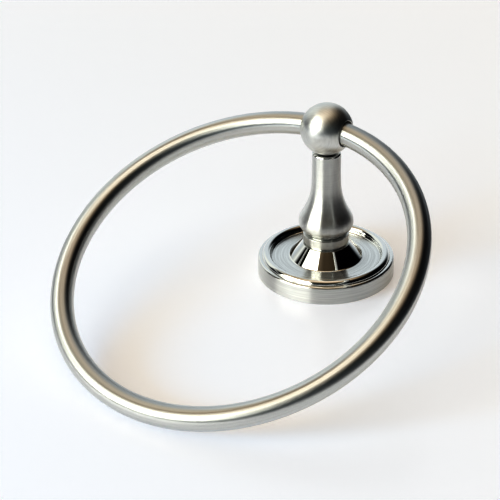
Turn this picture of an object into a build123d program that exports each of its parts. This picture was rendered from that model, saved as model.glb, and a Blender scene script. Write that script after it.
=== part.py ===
from build123d import *
import os
from math import sin, cos, tan, asin, atan, sqrt, radians, degrees, pi

# Towel ring: round base flange, vase-shaped post, ball with a cross hole and a
# swinging ring.  Millimetres.  Origin: centre of the flange's back face (the
# wall plane), +Z along the post away from the wall.  The ring hangs towards -Y
# and swings about the X direction.

# ---------------------------------------------------------------- dimensions
FLANGE_R = 30.0          # skirt radius at the wall plane
SKIRT_TOP_R = 29.9       # slight draft of the skirt
SKIRT_TOP_Z = 7.3        # where the rounded rim starts
RIM_Z = 8.12             # top of the rim, outside the bead
BEAD_TOP_Z = 10.0        # crown of the half-round bead
WALL_T = 2.6             # skirt wall thickness
CAVITY_Z = 5.3           # underside of the face plate
CONE_BASE_R = 15.85
CONE_BASE_Z = 8.15
CONE_TOP_R = 10.3
CONE_TOP_Z = 14.6
BOSS_UNDER_Z = 11.8      # flat under the cone's top plate

COLLAR_R = 9.98
COLLAR_Z0 = 15.5
COLLAR_Z1 = 19.15
WAIST_R = 8.55           # groove between collar and vase
STEP_R = 9.1             # groove between cone and collar
NECK_R = 6.2
SHOULDER_Z = 57.55       # flat top of the post
SHOULDER_EDGE = 0.75     # rounding of the shoulder's edge
SPIGOT_R = 4.0
SPIGOT_Z = 12.5

BALL_R = 11.18
PIVOT_Z = 68.3           # height of the swing axis, also the ball's centre
BORE_R = 5.4             # cross hole in the ball

BAR_R = 4.75             # round bar of the ring
RING_R = 73.75           # centreline radius of the ring
RING_SHIFT = 0.33        # bar's crown above the swing axis (half the sagitta in the hole)

STUD_R = 1.95            # stud between ball and post
STUD_HOLE_R = 2.0
STUD_Z0 = 49.6
STUD_Z1 = 61.8

SCREW_R = 2.95           # screw that holds the post
SCREW_HOLE_R = 3.0
SCREW_TIP_Z = 24.6
HEAD_R = 5.5
HEAD_H = 3.4
WASHER_T = 1.5

BRACKET_T = 1.6          # wall bracket
BRACKET_W = 20.0
BRACKET_HALF = 20.2      # half length at the wall plane, before the raised ends
TAB_SLOPE = 0.62         # outward run of the raised ends for each mm of rise
TAB_TOP_Z = 4.9
BRACKET_HOLE_R = 2.3
BRACKET_HOLE_Y = 12.5    # wall screw holes at +Y and -Y

GRUB_R = 1.95
GRUB_HOLE_R = 2.0
GRUB_Z = 3.2
GRUB_OUT_Y = 29.0

# ring tilt at rest: the bar's far side just touches the wall plane
TILT = asin((PIVOT_Z - BAR_R) / (2 * RING_R - RING_SHIFT))

os.makedirs("parts", exist_ok=True)


def lathe(edges):
    """Closed outline in the XZ plane, turned about Z."""
    face = make_face(edges)
    return revolve(face, Axis.Z, 360)


def P(r, z):
    return (r, 0, z)


def poly(*pts):
    return [Line(P(*a), P(*b)) for a, b in zip(pts[:-1], pts[1:])]


# ---------------------------------------------------------------- base flange
outer = []
outer += poly((FLANGE_R - WALL_T, 0.0), (FLANGE_R - 0.25, 0.0), (FLANGE_R, 0.25), (SKIRT_TOP_R, SKIRT_TOP_Z))
outer.append(ThreePointArc(P(SKIRT_TOP_R, SKIRT_TOP_Z), P(29.54, 7.92), P(28.88, RIM_Z)))     # rounded rim
outer += poly((28.88, RIM_Z), (28.14, RIM_Z))
outer.append(ThreePointArc(P(28.14, RIM_Z), P(26.08, BEAD_TOP_Z), P(24.02, 8.00)))            # half-round bead
outer += poly((24.02, 8.00), (23.98, 7.80))
outer.append(ThreePointArc(P(23.98, 7.80), P(23.75, 7.50), P(23.30, 7.38)))
outer.append(ThreePointArc(P(23.30, 7.38), P(19.80, 7.52), P(16.35, 7.98)))                   # dish
outer.append(ThreePointArc(P(16.35, 7.98), P(16.05, 8.06), P(CONE_BASE_R - 0.12, CONE_BASE_Z + 0.14)))
outer += poly((CONE_BASE_R - 0.12, CONE_BASE_Z + 0.14), (CONE_TOP_R + 0.11, CONE_TOP_Z - 0.13))
outer.append(ThreePointArc(P(CONE_TOP_R + 0.11, CONE_TOP_Z - 0.13), P(CONE_TOP_R + 0.02, CONE_TOP_Z - 0.04), P(CONE_TOP_R - 0.12, CONE_TOP_Z)))
outer += poly((CONE_TOP_R - 0.12, CONE_TOP_Z), (SPIGOT_R + 0.1, CONE_TOP_Z), (SPIGOT_R + 0.1, BOSS_UNDER_Z),
              (8.3, BOSS_UNDER_Z), (13.7, 5.9), (14.6, CAVITY_Z), (FLANGE_R - WALL_T - 1.0, CAVITY_Z))
outer.append(ThreePointArc(P(FLANGE_R - WALL_T - 1.0, CAVITY_Z), P(FLANGE_R - WALL_T - 0.29, CAVITY_Z - 0.29), P(FLANGE_R - WALL_T, CAVITY_Z - 1.0)))
outer += poly((FLANGE_R - WALL_T, CAVITY_Z - 1.0), (FLANGE_R - WALL_T, 0.0))
base_flange = lathe(outer)

# boss inside the skirt for the grub screw (+Y side), joined to wall and face
boss = Pos(0, 26.0, (0.8 + CAVITY_Z + 0.4) / 2) * Box(9.0, 4.0, CAVITY_Z + 0.4 - 0.8)
boss = boss & (Pos(0, 0, 3) * Cylinder(FLANGE_R - 1.0, 12))
base_flange = base_flange + boss
base_flange = base_flange - (Pos(0, 26.0, GRUB_Z) * Rot(90, 0, 0) * Cylinder(GRUB_HOLE_R, 12))

# hook ledge inside the skirt on the -Y side; its sloped face goes behind the
# raised end of the wall bracket
gap = 0.12
ledge_prof = Polyline(
    (0, -(FLANGE_R - 1.2), 0.5), (0, -(BRACKET_HALF + gap * 1.9 + TAB_SLOPE * 0.5), 0.5),
    (0, -(BRACKET_HALF + gap * 1.9 + TAB_SLOPE * 3.4), 3.4), (0, -(FLANGE_R - 1.2), 3.4), close=True)
ledge = extrude(make_face(ledge_prof), amount=6.0, both=True, dir=(1, 0, 0))
base_flange = base_flange + ledge

# ---------------------------------------------------------------- post
vase = [(9.02, 19.72), (9.74, 20.5), (10.55, 21.5), (11.62, 23.0), (11.94, 25.0), (11.55, 27.0),
        (10.33, 29.5), (9.05, 32.0), (7.86, 35.0), (6.98, 38.0), (6.42, 42.0), (6.24, 47.0)]
post_lines = []
post_lines += poly((SCREW_HOLE_R, SPIGOT_Z), (SPIGOT_R - 0.3, SPIGOT_Z), (SPIGOT_R, SPIGOT_Z + 0.3), (SPIGOT_R, CONE_TOP_Z),
                   (STEP_R, CONE_TOP_Z), (STEP_R, COLLAR_Z0), (COLLAR_R - 0.2, COLLAR_Z0))
post_lines.append(ThreePointArc(P(COLLAR_R - 0.2, COLLAR_Z0), P(COLLAR_R - 0.06, COLLAR_Z0 + 0.06), P(COLLAR_R, COLLAR_Z0 + 0.2)))
post_lines += poly((COLLAR_R, COLLAR_Z0 + 0.2), (COLLAR_R, COLLAR_Z1 - 0.2))
post_lines.append(ThreePointArc(P(COLLAR_R, COLLAR_Z1 - 0.2), P(COLLAR_R - 0.06, COLLAR_Z1 - 0.06), P(COLLAR_R - 0.2, COLLAR_Z1)))
post_lines += poly((COLLAR_R - 0.2, COLLAR_Z1), (WAIST_R, COLLAR_Z1), (WAIST_R, 19.62), vase[0])
post_lines.append(Spline(*[P(*q) for q in vase], P(NECK_R, 50.5), tangents=[(0.66, 0, 0.75), (0, 0, 1)]))
post_lines += poly((NECK_R, 50.5), (NECK_R, SHOULDER_Z - SHOULDER_EDGE))
e = SHOULDER_EDGE
post_lines.append(ThreePointArc(P(NECK_R, SHOULDER_Z - e), P(NECK_R - e * 0.293, SHOULDER_Z - e * 0.293), P(NECK_R - e, SHOULDER_Z)))
post_lines += poly((NECK_R - e, SHOULDER_Z), (STUD_HOLE_R, SHOULDER_Z), (STUD_HOLE_R, 48.6), (0, 47.4), (0, 28.2),
                   (SCREW_HOLE_R, 26.4), (SCREW_HOLE_R, SPIGOT_Z))
post = lathe(post_lines)

# ---------------------------------------------------------------- ball
ring_ball = Pos(0, 0, PIVOT_Z) * Sphere(BALL_R)
ring_ball = ring_ball - (Pos(0, 0, SHOULDER_Z - 5) * Box(30, 30, 10))
ring_ball = ring_ball - (Pos(0, 0, PIVOT_Z) * Rot(0, 90, 0) * Cylinder(BORE_R, 40))
mouth = ring_ball.edges().filter_by(lambda ed: ed.geom_type == GeomType.CIRCLE and abs(abs(ed.center().X) - sqrt(BALL_R**2 - BORE_R**2)) < 0.05)
ring_ball = fillet(mouth, 0.35)
ring_ball = ring_ball - (Pos(0, 0, (SHOULDER_Z - 1 + STUD_Z1 + 0.1) / 2) * Cylinder(STUD_HOLE_R, STUD_Z1 + 0.1 - SHOULDER_Z + 1))

# ---------------------------------------------------------------- ring
reach = RING_R - RING_SHIFT
centre = Vector(0, -reach * cos(TILT), PIVOT_Z - reach * sin(TILT))
normal = Vector(0, sin(TILT), -cos(TILT)) * -1
ring_plane = Plane(origin=centre, x_dir=(1, 0, 0), z_dir=normal)
towel_ring = ring_plane * Torus(RING_R, BAR_R)

# ---------------------------------------------------------------- ball stud
c = 0.4
ball_stud = lathe(poly((0, STUD_Z0), (STUD_R - c, STUD_Z0), (STUD_R, STUD_Z0 + c), (STUD_R, STUD_Z1 - c),
                       (STUD_R - c, STUD_Z1), (0, STUD_Z1), (0, STUD_Z0)))

# ---------------------------------------------------------------- post screw
head_top = BOSS_UNDER_Z - WASHER_T
head_bot = head_top - HEAD_H
screw_lines = poly((0, head_bot), (HEAD_R - 1.1, head_bot))
screw_lines.append(ThreePointArc(P(HEAD_R - 1.1, head_bot), P(HEAD_R - 0.3, head_bot + 0.35), P(HEAD_R, head_bot + 1.2)))
screw_lines += poly((HEAD_R, head_bot + 1.2), (HEAD_R, head_top), (SCREW_R, head_top), (SCREW_R, SCREW_TIP_Z - 0.8),
                    (SCREW_R - 0.8, SCREW_TIP_Z), (0, SCREW_TIP_Z), (0, head_bot))
post_screw = lathe(screw_lines)
# cross recess
for a in (0, 90):
    post_screw = post_screw - (Pos(0, 0, head_bot + 0.9) * Rot(0, 0, a) * Box(5.6, 1.2, 2.2))

# ---------------------------------------------------------------- split washer
lock_washer = Pos(0, 0, BOSS_UNDER_Z - WASHER_T / 2) * (Cylinder(5.1, WASHER_T) - Cylinder(3.1, WASHER_T))
lock_washer = lock_washer - (Pos(4.1, 0, BOSS_UNDER_Z - WASHER_T / 2) * Rot(25, 0, 0) * Box(3.2, 0.5, 4.0))

# ---------------------------------------------------------------- wall bracket
# flat strip on the wall with both ends raised at an angle
t = BRACKET_T
k = sqrt(1 + TAB_SLOPE**2)
yo = BRACKET_HALF
end_y = yo + TAB_SLOPE * TAB_TOP_Z
dy = t * k                      # horizontal thickness of a raised end
yi = yo + TAB_SLOPE * t - dy    # inner corner, at the strip's top face
half = [(yo, 0.0), (end_y, TAB_TOP_Z), (end_y - dy, TAB_TOP_Z), (yi, t)]
pts = [(0, y, z) for y, z in half] + [(0, -y, z) for y, z in reversed(half)]
wall_bracket = extrude(make_face(Polyline(*pts, close=True)), amount=BRACKET_W / 2, both=True, dir=(1, 0, 0))
for s in (-1, 1):
    wall_bracket = wall_bracket - (Pos(0, s * BRACKET_HOLE_Y, t / 2) * Cylinder(BRACKET_HOLE_R, 4 * t))

# ---------------------------------------------------------------- grub screw
tip_y = yo + TAB_SLOPE * (GRUB_Z + 0.15) + 0.02      # the cone point bears on the raised end
g = GRUB_R
grub_lines = poly((0, tip_y), (0.15, tip_y), (g, tip_y + g), (g, GRUB_OUT_Y - 0.3), (g - 0.3, GRUB_OUT_Y), (0, GRUB_OUT_Y), (0, tip_y))
grub_screw = lathe(grub_lines)
hexagon = Pos(0, 0, GRUB_OUT_Y - 1.0) * extrude(RegularPolygon(1.0, 6, major_radius=False), amount=1.01, both=True)
grub_screw = grub_screw - hexagon
# turned from the Z direction to the +Y direction
grub_screw = Pos(0, 0, GRUB_Z) * Rot(-90, 0, 0) * grub_screw

# ---------------------------------------------------------------- write
PARTS = {
    "base_flange": base_flange,
    "post": post,
    "ring_ball": ring_ball,
    "towel_ring": towel_ring,
    "ball_stud": ball_stud,
    "post_screw": post_screw,
    "lock_washer": lock_washer,
    "wall_bracket": wall_bracket,
    "grub_screw": grub_screw,
}
for name, shape in PARTS.items():
    solids = shape.solids()
    out = solids[0] if len(solids) == 1 else Compound(children=list(solids))
    out.label = name
    export_step(out, "parts/" + name + ".step")
    print(name, "solids", len(solids), "volume", round(sum(s.volume for s in solids), 1))
print("tilt", round(degrees(TILT), 3), "ring centre", centre, "range", round(180 + 2 * degrees(TILT), 2))
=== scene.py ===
import math

import bpy
from mathutils import Matrix, Vector


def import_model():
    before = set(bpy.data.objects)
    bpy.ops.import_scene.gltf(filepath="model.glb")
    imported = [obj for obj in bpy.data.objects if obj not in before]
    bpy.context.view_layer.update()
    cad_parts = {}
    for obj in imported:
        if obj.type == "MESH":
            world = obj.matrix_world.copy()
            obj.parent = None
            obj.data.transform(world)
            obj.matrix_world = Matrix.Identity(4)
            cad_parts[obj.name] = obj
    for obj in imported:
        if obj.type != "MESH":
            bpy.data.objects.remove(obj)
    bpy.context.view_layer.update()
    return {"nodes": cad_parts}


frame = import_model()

scene = bpy.context.scene
nodes = frame["nodes"]

TURN = math.radians(32.613)                                   # heading of the camera round the post
TOWARD = (math.sin(TURN), -math.cos(TURN), 0.0)               # from the object to the camera, level
RIGHT = (math.cos(TURN), math.sin(TURN), 0.0)                 # to the right of the picture, level


# ------------------------------------------------------------------ camera
def camera():
    yaw, pitch, roll = math.radians(-3.501), math.radians(29.209), math.radians(-1.348)
    forward = Vector((math.sin(yaw) * math.cos(pitch), math.cos(yaw) * math.cos(pitch), -math.sin(pitch)))
    side = forward.cross(Vector((0, 0, 1))).normalized()
    up = side.cross(forward)
    side, up = math.cos(roll) * side + math.sin(roll) * up, math.cos(roll) * up - math.sin(roll) * side
    turn = Matrix.Rotation(TURN, 3, "Z")
    forward, side, up = turn @ forward, turn @ side, turn @ up
    place = turn @ Vector((0.0, -0.54699, 0.31610))
    data = bpy.data.cameras.new("camera")
    data.sensor_width = 36.0
    data.lens = 102.41
    data.clip_start, data.clip_end = 0.01, 60.0
    cam = bpy.data.objects.new("camera", data)
    scene.collection.objects.link(cam)
    cam.matrix_world = Matrix((
        (side.x, up.x, -forward.x, place.x),
        (side.y, up.y, -forward.y, place.y),
        (side.z, up.z, -forward.z, place.z),
        (0, 0, 0, 1)))
    scene.camera = cam


camera()


# ------------------------------------------------------------------ node helpers
class Tree:
    def __init__(self, tree):
        self.t = tree
        tree.nodes.clear()

    def add(self, kind, **props):
        n = self.t.nodes.new(kind)
        for k, v in props.items():
            setattr(n, k, v)
        return n

    def link(self, a, b):
        self.t.links.new(a, b)

    def put(self, socket, value):
        if isinstance(value, bpy.types.NodeSocket):
            self.link(value, socket)
        else:
            socket.default_value = value

    def math(self, op, a, b=0.0, c=0.0):
        n = self.add("ShaderNodeMath", operation=op)
        for s, v in zip(n.inputs, (a, b, c)):
            self.put(s, v)
        return n.outputs[0]

    def dot(self, a, b):
        n = self.add("ShaderNodeVectorMath", operation="DOT_PRODUCT")
        self.put(n.inputs[0], a)
        self.put(n.inputs[1], b)
        return n.outputs["Value"]

    def ramp(self, x, a, b, lo=0.0, hi=1.0):
        """lo below a, hi above b, a smooth step between."""
        n = self.add("ShaderNodeMapRange", interpolation_type="SMOOTHSTEP", clamp=True)
        for s, v in zip(n.inputs, (x, a, b, lo, hi)):
            self.put(s, v)
        return n.outputs[0]

    def mix(self, f, a, b):
        n = self.add("ShaderNodeMix", data_type="RGBA", clamp_factor=True)
        self.put(n.inputs["Factor"], f)
        for name, v in (("A", a), ("B", b)):
            s = next(s for s in n.inputs if s.name == name and s.type == "RGBA")
            self.put(s, v)
        return next(s for s in n.outputs if s.type == "RGBA")

    def times(self, *v):
        out = v[0]
        for x in v[1:]:
            out = self.math("MULTIPLY", out, x)
        return out


# ------------------------------------------------------------------ light
# A studio seen all round, in plain patches: a tall bright window to the left, a
# light band above it, a pale wall behind, a dark room to the right, a warm ceiling.
def c(r, g, b):
    return (r, g, b, 1.0)


def world():
    w = bpy.data.worlds.new("studio")
    scene.world = w
    w.use_nodes = True
    t = Tree(w.node_tree)
    d = t.add("ShaderNodeTexCoord").outputs["Generated"]
    az = t.math("DEGREES", t.math("ARCTAN2", t.dot(d, RIGHT), t.dot(d, TOWARD)))        # 0 towards the camera, + to the right
    el = t.math("DEGREES", t.math("ARCSINE", t.dot(d, (0, 0, 1))))

    path = t.add("ShaderNodeLightPath")
    # dark room, bluish near and below the table's edge, with a dim patch straight in front
    room = t.mix(t.ramp(el, 0.0, 20.0), c(0.012, 0.022, 0.034), c(0.003, 0.003, 0.004))
    front = t.math("MULTIPLY", t.ramp(az, -40, -34), t.ramp(az, 42, 34))
    room = t.mix(front, room, t.mix(t.ramp(el, 20, 50), c(0.10, 0.125, 0.135), c(0.075, 0.058, 0.033)))
    # pale wall behind
    far = t.ramp(t.math("SUBTRACT", az, t.ramp(el, 4, 24, 118, 136)), 0.0, 36.0)
    wall = t.math("MAXIMUM", far, t.ramp(az, -104, -144))
    room = t.mix(t.math("MULTIPLY", wall, t.ramp(el, -6, 0)), room, c(0.90, 0.95, 0.99))
    # ceiling
    room = t.mix(t.ramp(el, 44, 74), room, c(0.70, 0.56, 0.40))
    cream = t.math("MULTIPLY", t.ramp(el, 40, 58), t.math("MULTIPLY", t.ramp(az, -172, -138), t.ramp(az, -6, -46)))
    room = t.mix(cream, room, c(0.72, 0.61, 0.47))
    room = t.mix(t.ramp(el, 62, 80), room, c(1.15, 1.00, 0.82))
    # pale curtain beside the window
    curtain = t.times(t.ramp(az, -106, -120), t.ramp(az, -162, -144), t.ramp(el, 5, 19), t.ramp(el, 58, 46))
    room = t.mix(curtain, room, c(1.10, 1.12, 1.08))
    # window
    edge = t.ramp(el, 20.0, 42.0, -24.0, -32.0)
    right = t.ramp(t.math("SUBTRACT", az, edge), 2.0, -2.0)
    win = t.times(right, t.ramp(t.math("SUBTRACT", az, t.ramp(el, 34.0, 46.0, -86.0, -94.0)), -3.0, 3.0), t.ramp(el, 2.0, 9.0), t.ramp(el, 60, 46))
    room = t.mix(win, room, c(3.25, 3.25, 3.05))

    room = t.mix(path.outputs["Is Camera Ray"], room, c(0.93, 0.93, 0.95))
    bg = t.add("ShaderNodeBackground")
    t.link(room, bg.inputs["Color"])
    bg.inputs["Strength"].default_value = 1.0
    out = t.add("ShaderNodeOutputWorld")
    t.link(bg.outputs[0], out.inputs[0])


world()


# cool daylight on the table from the window's side; the metal mirrors the studio itself
def daylight(az, el, far, wide, high, colour, power):
    data = bpy.data.lights.new("daylight", "AREA")
    data.shape, data.size, data.size_y = "RECTANGLE", wide, high
    data.color = colour
    data.energy = power
    o = bpy.data.objects.new("daylight", data)
    scene.collection.objects.link(o)
    a, e = math.radians(az), math.radians(el)
    way = (Vector(TOWARD) * math.cos(a) + Vector(RIGHT) * math.sin(a)) * math.cos(e) + Vector((0, 0, math.sin(e)))
    o.location = way * far
    o.rotation_euler = way.to_track_quat("Z", "Y").to_euler()
    o.visible_camera = o.visible_glossy = False


daylight(-60, 20, 1.5, 0.8, 0.4, (0.10, 0.48, 1.0), 17.0)


# ------------------------------------------------------------------ floor
# a white table top, seen everywhere in the picture; its right edge is near
def floor():
    x, y = Vector(RIGHT), Vector(TOWARD)
    corners = [x * i + y * j + Vector((0, 0, -0.00003)) for i, j in ((-1.6, -1.4), (-1.6, 1.0), (0.20, 1.0), (0.20, -1.4))]
    mesh = bpy.data.meshes.new("floor")
    mesh.from_pydata(corners, [], [(0, 1, 2, 3)])
    o = bpy.data.objects.new("floor", mesh)
    scene.collection.objects.link(o)
    m = bpy.data.materials.new("floor")
    m.use_nodes = True
    t = Tree(m.node_tree)
    b = t.add("ShaderNodeBsdfPrincipled")
    b.inputs["Base Color"].default_value = (0.50, 0.50, 0.505, 1.0)
    b.inputs["Roughness"].default_value = 0.28
    b.inputs["Specular IOR Level"].default_value = 0.5
    b.inputs["Emission Color"].default_value = (1.0, 0.945, 0.885, 1.0)      # painted fill light: the table top glows like a lamp, so shadows stay faint
    # painted light: the glow is ramped brighter towards the camera, on the window's side
    where = t.dot(t.add("ShaderNodeTexCoord").outputs["Object"], TOWARD)
    t.put(b.inputs["Emission Strength"], t.ramp(where, -0.40, 0.22, 0.45, 0.515))
    out = t.add("ShaderNodeOutputMaterial")
    t.link(b.outputs[0], out.inputs[0])
    o.data.materials.append(m)


floor()


# ------------------------------------------------------------------ metals
HANG = math.radians(25.583)                                   # lean of the ring's plane
RING_AXIS = (0.0, -math.sin(HANG), math.cos(HANG))
RING_MIDDLE = (0.0, -0.0662221, 0.0365962)
BALL_MIDDLE = (0.0, 0.0, 0.0683)


def metal(name, colour, rough, aniso=0.0, turn=0.0, along=None, lines=0.0, drawn_share=0.0, shade=0.0, masks=()):
    """A brushed metal: a stretched shine, with the coarser scratches as fine lines.
    along: "post" for scratches round the post's axis, "ball" for a spun ball, "bar" for a direction along the ring's bar.
    lines: depth of the coarser scratches in mm; shade: how much darker they look; drawn_share: how much of it runs along the post instead. masks: (kind, from, to, roughness, share of the lines that stays) in mm, laid over rough in turn."""
    m = bpy.data.materials.new(name)
    m.use_nodes = True
    t = Tree(m.node_tree)
    b = t.add("ShaderNodeBsdfPrincipled")
    b.inputs["Base Color"].default_value = (*colour, 1.0)
    b.inputs["Metallic"].default_value = 1.0
    b.inputs["Anisotropic"].default_value = aniso
    b.inputs["Anisotropic Rotation"].default_value = turn
    pos = t.add("ShaderNodeTexCoord").outputs["Object"]

    def vector(op, *v):
        n = t.add("ShaderNodeVectorMath", operation=op)
        for s, q in zip(n.inputs, v):
            t.put(s, q)
        return n.outputs[0]

    def parts(v):
        n = t.add("ShaderNodeSeparateXYZ")
        t.link(v, n.inputs[0])
        return [t.math("MULTIPLY", s, 1000.0) for s in n.outputs]

    def noise(u, v, w, detail=2.0):
        n = t.add("ShaderNodeCombineXYZ")
        for s, q in zip(n.inputs, (u, v, w)):
            t.put(s, q)
        tex = t.add("ShaderNodeTexNoise")
        tex.inputs["Scale"].default_value = 1.0
        tex.inputs["Detail"].default_value = detail
        t.link(n.outputs[0], tex.inputs["Vector"])
        return next(o for o in tex.outputs if o.type == "VALUE")

    x, y, z = parts(pos)
    r = t.math("SQRT", t.math("ADD", t.math("MULTIPLY", x, x), t.math("MULTIPLY", y, y)))
    tangent = None
    if along == "bar":
        arm = vector("SUBTRACT", pos, RING_MIDDLE)
        tangent = vector("CROSS_PRODUCT", RING_AXIS, arm)
        up = t.math("MULTIPLY", t.dot(arm, RING_AXIS), 1000.0)
        far = t.math("MULTIPLY", t.math("SQRT", t.dot(arm, arm)), 1000.0)
        out_ = t.math("SUBTRACT", t.math("SQRT", t.math("SUBTRACT", t.math("MULTIPLY", far, far), t.math("MULTIPLY", up, up))), 73.75)
        ax, ay, az = parts(arm)
        streak = noise(t.math("MULTIPLY", out_, 1.3), t.math("MULTIPLY", up, 1.3), t.math("MULTIPLY", ax, 0.025))
        cross = noise(t.math("MULTIPLY", ax, 2.4), t.math("MULTIPLY", ay, 2.4), t.math("MULTIPLY", az, 2.4))
        grain = t.math("ADD", t.math("MULTIPLY", streak, 0.75), t.math("MULTIPLY", cross, 0.25))
    elif along == "ball":
        arm = vector("SUBTRACT", pos, BALL_MIDDLE)
        tangent = vector("CROSS_PRODUCT", (0, 1, 0), arm)
        ax, ay, az = parts(arm)
        grain = noise(t.math("MULTIPLY", ax, 0.25), t.math("MULTIPLY", ay, 2.4), t.math("MULTIPLY", az, 0.25))
    elif along == "post":
        turned = noise(t.math("MULTIPLY", x, 0.05), t.math("MULTIPLY", y, 0.05), t.math("MULTIPLY", t.math("ADD", r, z), 1.7), 3.0)
        drawn = noise(t.math("MULTIPLY", x, 0.5), t.math("MULTIPLY", y, 0.5), t.math("MULTIPLY", z, 0.06))
        grain = t.math("ADD", t.math("MULTIPLY", turned, 1.0 - drawn_share), t.math("MULTIPLY", drawn, drawn_share))
        node = t.add("ShaderNodeTangent", direction_type="RADIAL", axis="Z")
        t.link(node.outputs[0], b.inputs["Tangent"])
    else:
        grain = noise(t.math("MULTIPLY", x, 1.5), t.math("MULTIPLY", y, 1.5), t.math("MULTIPLY", z, 1.5))
    if tangent:
        turned = t.add("ShaderNodeVectorTransform", vector_type="VECTOR", convert_from="OBJECT", convert_to="WORLD")
        t.link(tangent, turned.inputs[0])
        t.link(vector("NORMALIZE", turned.outputs[0]), b.inputs["Tangent"])
    value, brushed = rough, 1.0
    for test, lo, hi, at, share in masks:
        s = {"z": z, "r": r}[test]
        inside = t.math("MULTIPLY", t.ramp(s, lo - 0.05, lo + 0.05), t.ramp(s, hi + 0.05, hi - 0.05))
        value = t.math("ADD", t.math("MULTIPLY", value, t.math("SUBTRACT", 1.0, inside)), t.math("MULTIPLY", inside, at))
        brushed = t.math("MULTIPLY", brushed, t.math("SUBTRACT", 1.0, t.math("MULTIPLY", inside, 1.0 - share)))
    t.put(b.inputs["Roughness"], t.math("MULTIPLY", value, t.ramp(grain, 0.25, 0.75, 0.94, 1.06)))
    if shade:
        light = t.math("SUBTRACT", 1.0, t.math("MULTIPLY", brushed, t.math("SUBTRACT", 1.0, t.ramp(grain, 0.36, 0.64))))
        t.link(t.mix(light, c(*[q * (1.0 - shade) for q in colour]), c(*[q * (1.0 + 0.3 * shade) for q in colour])), b.inputs["Base Color"])
    if lines:
        bump = t.add("ShaderNodeBump")
        t.put(bump.inputs["Strength"], brushed)
        bump.inputs["Distance"].default_value = lines * 0.001
        t.link(grain, bump.inputs["Height"])
        t.link(bump.outputs[0], b.inputs["Normal"])
    out = t.add("ShaderNodeOutputMaterial")
    t.link(b.outputs[0], out.inputs[0])
    return m


def wear(obj, material):
    for s in obj.material_slots:
        s.material = material


NICKEL = (0.775, 0.78, 0.76)
wear(nodes["towel_ring"], metal("ring_satin", NICKEL, 0.315, aniso=1.0, along="bar", lines=0.008, shade=0.07))
wear(nodes["ring_ball"], metal("ball_satin", NICKEL, 0.39, aniso=0.60, turn=0.25, along="ball", lines=0.006, shade=0.05))
wear(nodes["post"], metal("post_satin", NICKEL, 0.34, aniso=0.90, turn=0.25, along="post", lines=0.035, drawn_share=0.7, shade=0.08,
                          masks=(("z", 15.0, 19.4, 0.30, 0.0), ("z", 19.4, 21.8, 0.12, 0.0), ("z", 56.72, 58.0, 0.12, 0.0))))
wear(nodes["base_flange"], metal("flange_brushed", NICKEL, 0.31, aniso=0.95, turn=0.25, along="post", lines=0.012, shade=0.09,
                                 masks=(("r", 23.6, 29.72, 0.10, 0.0), ("r", 16.2, 23.6, 0.18, 1.0), ("r", 8.0, 16.2, 0.04, 0.0))))
plated = metal("zinc_plated", (0.55, 0.55, 0.53), 0.36)
for n in ("ball_stud", "post_screw", "lock_washer", "wall_bracket", "grub_screw"):
    wear(nodes[n], plated)

scene.view_settings.view_transform = "Standard"
scene.view_settings.look = "None"
scene.view_settings.gamma = 0.526                             # the photo's strong contrast
